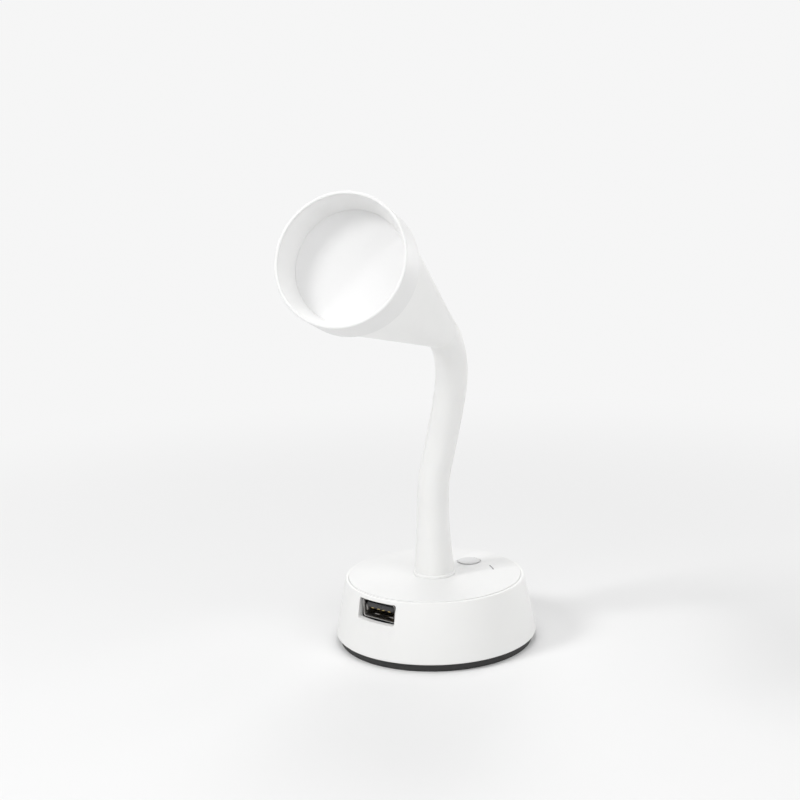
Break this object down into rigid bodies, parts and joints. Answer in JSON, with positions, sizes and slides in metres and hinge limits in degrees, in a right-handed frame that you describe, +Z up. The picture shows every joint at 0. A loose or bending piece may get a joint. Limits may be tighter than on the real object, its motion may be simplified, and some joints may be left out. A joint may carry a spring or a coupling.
{
  "type": "flexible-neck desk reading lamp",
  "caption": "Small white desk reading lamp: round base with a USB-A socket and a push button, a flexible sleeved neck, and a trumpet-shaped head with an opal front disc.",
  "frame": {"origin": "centre of the foot pad's underside, on the surface the lamp stands on", "axes": "+Z up, -Y out of the USB-A socket, +Y towards the push button on top, +X completing a right-handed frame"},
  "size_m": [0.0994, 0.1367, 0.1523],
  "materials": {
    "white_shell": "smooth satin white",
    "white_cover": "smooth satin white",
    "rubber_foot": "matt black",
    "black_plate": "matt black",
    "steel": "plain",
    "socket_metal": "nickel plated",
    "ballast": "plain",
    "cell_wrap": "foil",
    "circuit_board": "solder resist",
    "black_plastic": "moulded",
    "grey_plastic": "moulded",
    "contact_metal": "plated",
    "button_grey": "satin pale grey",
    "smoked_window": "clear smoked",
    "silicone": "soft satin white",
    "lead_white": "smooth",
    "white_ring": "smooth satin white",
    "white_reflector": "satin white",
    "opal": "glossy opal",
    "board_white": "white solder resist",
    "led_yellow": "phosphor",
    "sink_metal": "stamped"
  },
  "bodies": {
    "base": {"foot_pad": "rubber_foot", "bottom_plate": "black_plate", "plate_screws": "steel", "ballast_disc": "ballast", "base_shell": "white_shell", "screw_bosses": "white_shell", "top_cover": "white_cover", "battery_cell": "cell_wrap", "control_board": "circuit_board", "board_parts": "black_plastic", "board_screws": "steel", "usb_shell": "socket_metal", "usb_tongue": "grey_plastic", "usb_contacts": "contact_metal", "inlet_shell": "socket_metal", "inlet_tongue": "black_plastic", "switch_body": "black_plastic", "indicator_window": "smoked_window", "foot_fitting": "steel", "foot_nut": "steel", "neck_collar": "white_ring", "sleeve_foot": "silicone", "lamp_lead": "lead_white"},
    "button": {"button_cap": "button_grey", "switch_plunger": "black_plastic"},
    "link_1": {"core_1": "steel", "sleeve_1": "silicone"},
    "link_2": {"core_2": "steel", "sleeve_2": "silicone"},
    "link_3": {"core_3": "steel", "sleeve_3": "silicone"},
    "link_4": {"core_4": "steel", "sleeve_4": "silicone"},
    "link_5": {"core_5": "steel", "sleeve_5": "silicone"},
    "link_6": {"core_6": "steel", "sleeve_6": "silicone"},
    "link_7": {"core_7": "steel", "sleeve_7": "silicone"},
    "head": {"sleeve_8": "silicone", "head_fitting": "steel", "head_nut": "steel", "head_shell": "white_shell", "front_ring": "white_ring", "reflector": "white_reflector", "diffuser": "opal", "led_board": "board_white", "led_chips": "led_yellow", "heat_sink": "sink_metal", "led_screws": "steel"}
  },
  "joints": [
    {"name": "button_press", "type": "slide", "parent": "base", "child": "button", "axis": [0, 0, -1], "range_m": [0, 0.0007], "stiffness_N_per_m": 300, "springref_m": -0.001},
    {"name": "neck_1", "type": "hinge", "parent": "base", "child": "link_1", "pos_m": [0, 0, 0.0417], "axis": [0.9455, 0.3256, 0], "range_deg": [-18, 14], "deforming": ["sleeve_1", "lamp_lead"]},
    {"name": "neck_2", "type": "hinge", "parent": "link_1", "child": "link_2", "pos_m": [0.00053, -0.00017, 0.05439], "axis": [-0.3255, 0.9452, 0.0262], "range_deg": [-18, 16], "deforming": ["sleeve_2"]},
    {"name": "neck_3", "type": "hinge", "parent": "link_2", "child": "link_3", "pos_m": [0.00343, 0.00083, 0.06671], "axis": [0.9455, 0.3256, 0], "range_deg": [-18, 14], "deforming": ["sleeve_3"]},
    {"name": "neck_4", "type": "hinge", "parent": "link_3", "child": "link_4", "pos_m": [0.0071, 0.00029, 0.07886], "axis": [-0.3224, 0.9363, 0.1392], "range_deg": [-18, 18], "deforming": ["sleeve_4"]},
    {"name": "neck_5", "type": "hinge", "parent": "link_4", "child": "link_5", "pos_m": [0.01025, -0.0012, 0.0886], "axis": [0.9455, 0.3256, 0], "range_deg": [-37, 8], "deforming": ["sleeve_5"]},
    {"name": "neck_6", "type": "hinge", "parent": "link_5", "child": "link_6", "pos_m": [0.01255, -0.0038, 0.09581], "axis": [0.9455, 0.3256, 0], "range_deg": [-39, 8], "deforming": ["sleeve_6"]},
    {"name": "neck_7", "type": "hinge", "parent": "link_6", "child": "link_7", "pos_m": [0.0147, -0.00813, 0.10218], "axis": [0.9455, 0.3256, 0], "range_deg": [-41, 8], "deforming": ["sleeve_7"]},
    {"name": "neck_8", "type": "hinge", "parent": "link_7", "child": "head", "pos_m": [0.01682, -0.01407, 0.10711], "axis": [0.9455, 0.3256, 0], "range_deg": [-42, 8], "deforming": ["sleeve_8"]}
  ]
}
